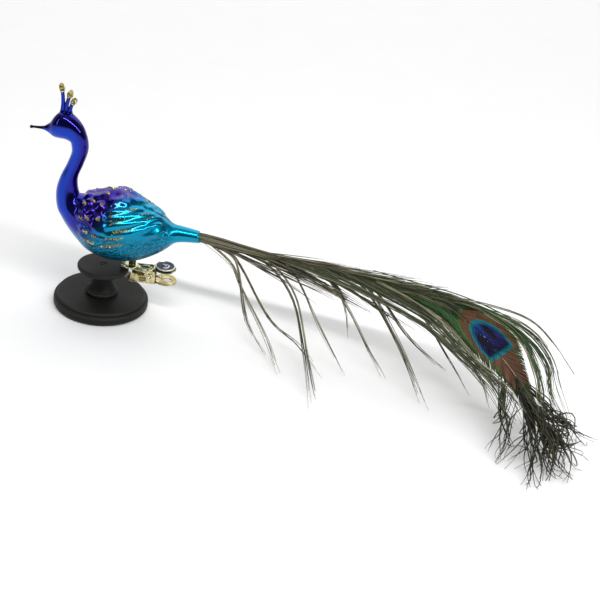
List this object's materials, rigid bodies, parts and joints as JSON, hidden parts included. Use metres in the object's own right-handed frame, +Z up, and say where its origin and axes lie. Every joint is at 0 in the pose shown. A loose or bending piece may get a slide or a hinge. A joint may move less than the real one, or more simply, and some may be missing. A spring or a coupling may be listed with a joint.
{
  "type": "peacock clip ornament",
  "caption": "Blown glass peacock ornament with a real feather tail, mounted on a coil spring on a squeeze clip that grips the top of a small turned stand.",
  "frame": {"origin": "centre of the stand's underside, on the felt pad's bottom face", "axes": "+Z up; -X is the way the bird faces, so the feather tail runs to +X and the clip's levers lie along X; -Y is the bird's left side"},
  "size_m": [0.2983, 0.1361, 0.1199],
  "materials": {
    "black_wood": "satin",
    "felt": "matte",
    "dark_steel": "satin",
    "spring_steel": "satin",
    "gold_metal": "polished",
    "blue_enamel": "gloss",
    "plaster": "matte",
    "glue": "satin",
    "teal_glass": "polished",
    "blue_glass": "polished",
    "gold_glitter": "gloss",
    "feather_shaft": "satin",
    "feather_barbs": "satin",
    "feather_eye": "satin"
  },
  "bodies": {
    "stand": {"felt_pad": "felt", "stand_base": "black_wood", "stand_stem": "black_wood", "stand_tablet": "black_wood", "tablet_screw": "dark_steel"},
    "clip": {"upper_lever": "gold_metal", "hinge_pin": "gold_metal", "torsion_spring": "spring_steel", "thumb_badge": "blue_enamel", "mount_eyelet": "gold_metal"},
    "jaw": {"lower_lever": "gold_metal"},
    "spring_mount": {"mount_spring": "dark_steel"},
    "bird": {"glass_body": "teal_glass", "belly_plug": "plaster", "tail_plug": "glue", "crest_prong_front": "blue_glass", "crest_prong_middle": "blue_glass", "crest_prong_rear": "blue_glass", "crest_tip_front": "gold_glitter", "crest_tip_middle": "gold_glitter", "crest_tip_rear": "gold_glitter", "feather_shaft": "feather_shaft", "barbs_near": "feather_barbs", "barbs_far": "feather_barbs", "eye_vane_near": "feather_eye", "eye_vane_far": "feather_eye", "barb_spray_1": "feather_barbs", "barb_spray_2": "feather_barbs", "barb_spray_3": "feather_barbs", "barb_spray_4": "feather_barbs", "barb_spray_5": "feather_barbs", "barb_spray_6": "feather_barbs", "tip_tuft_near": "feather_barbs", "tip_tuft_middle": "feather_barbs", "tip_tuft_far": "feather_barbs"}
  },
  "joints": [
    {"name": "clip_release", "type": "slide", "parent": "stand", "child": "clip", "axis": [1, 0, 0], "range_m": [0, 0.03]},
    {"name": "jaw_open", "type": "hinge", "parent": "clip", "child": "jaw", "pos_m": [0.0253, 0, 0.0224], "axis": [0, -1, 0], "range_deg": [0, 20], "stiffness_Nm_per_rad": 0.005, "springref_deg": -57.3, "deforming": ["torsion_spring"]},
    {"name": "bird_swivel", "type": "hinge", "parent": "clip", "child": "spring_mount", "pos_m": [0.0151, 0, 0.0258], "axis": [0, 0, 1], "range_deg": [-45, 45]},
    {"name": "bird_nod", "type": "hinge", "parent": "spring_mount", "child": "bird", "pos_m": [0.0151, 0, 0.0285], "axis": [0, 1, 0], "range_deg": [-7, 0.5], "stiffness_Nm_per_rad": 0.1, "springref_deg": -0.57, "deforming": ["mount_spring"]}
  ]
}
